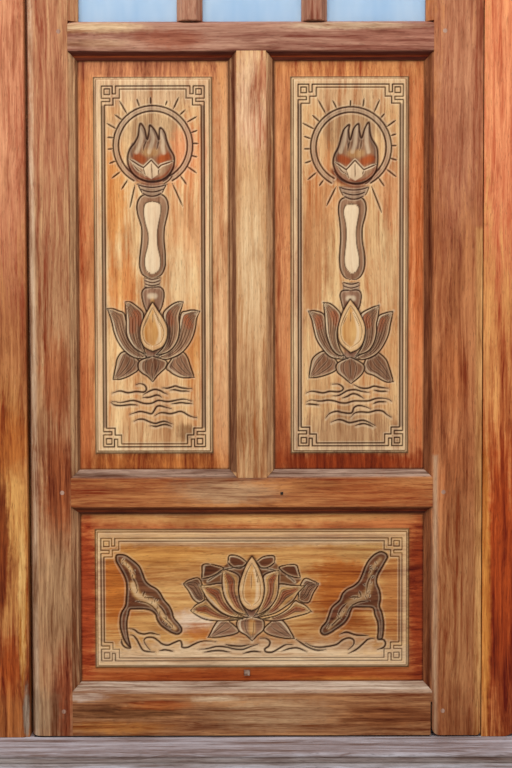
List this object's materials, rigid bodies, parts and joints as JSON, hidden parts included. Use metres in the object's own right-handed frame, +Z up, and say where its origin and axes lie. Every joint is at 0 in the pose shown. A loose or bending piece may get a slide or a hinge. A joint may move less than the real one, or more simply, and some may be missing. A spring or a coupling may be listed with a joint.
{
  "type": "carved temple door",
  "caption": "Wooden frame and pivot-hung panelled door leaf with carved lower panels, glazed upper part and a slide bolt.",
  "frame": {"origin": "centre of the sill's underside", "axes": "+Z up, +X to the closing side as seen from the front, front face towards -Y"},
  "size_m": [0.941, 0.19, 2.346],
  "materials": {
    "frame_wood": "old oiled boards, worn satin",
    "sill_wood": "bare grey weathered",
    "leaf_wood": "weathered varnish, patchy satin",
    "carved_wood": "carved, worn varnish",
    "peg_wood": "end grain, matte",
    "pane_glass": "clear",
    "dark_iron": "dark, lightly rusted"
  },
  "bodies": {
    "frame": {"left_jamb": "frame_wood", "right_jamb": "frame_wood", "head": "frame_wood", "sill": "sill_wood", "frame_pegs": "peg_wood", "pivot_cup": "dark_iron", "pivot_ring": "dark_iron", "strike_plate": "dark_iron", "strike_nails": "dark_iron"},
    "leaf": {"hanging_stile": "leaf_wood", "closing_stile": "leaf_wood", "bottom_rail": "leaf_wood", "lock_rail": "leaf_wood", "upper_rail": "leaf_wood", "top_rail": "leaf_wood", "muntin": "leaf_wood", "left_glazing_bar": "leaf_wood", "right_glazing_bar": "leaf_wood", "left_glass_foot_bead": "leaf_wood", "left_glass_head_bead": "leaf_wood", "left_glass_left_bead": "leaf_wood", "left_glass_right_bead": "leaf_wood", "middle_glass_foot_bead": "leaf_wood", "middle_glass_head_bead": "leaf_wood", "middle_glass_left_bead": "leaf_wood", "middle_glass_right_bead": "leaf_wood", "right_glass_foot_bead": "leaf_wood", "right_glass_head_bead": "leaf_wood", "right_glass_left_bead": "leaf_wood", "right_glass_right_bead": "leaf_wood", "upper_left_panel": "carved_wood", "upper_right_panel": "carved_wood", "lower_panel": "carved_wood", "leaf_pegs": "peg_wood", "left_glass": "pane_glass", "middle_glass": "pane_glass", "right_glass": "pane_glass", "pivot_shoe": "dark_iron", "bolt_plate": "dark_iron", "bolt_nails": "dark_iron", "panel_nail": "dark_iron", "rail_nail": "dark_iron"},
    "bolt": {"bolt_rod": "dark_iron"}
  },
  "joints": [
    {"name": "leaf_swing", "type": "hinge", "parent": "frame", "child": "leaf", "pos_m": [-0.3785, 0.006, 0.063], "axis": [0, 0, -1], "range_deg": [0, 95]},
    {"name": "bolt_slide", "type": "slide", "parent": "leaf", "child": "bolt", "axis": [1, 0, 0], "range_m": [0, 0.026]}
  ]
}
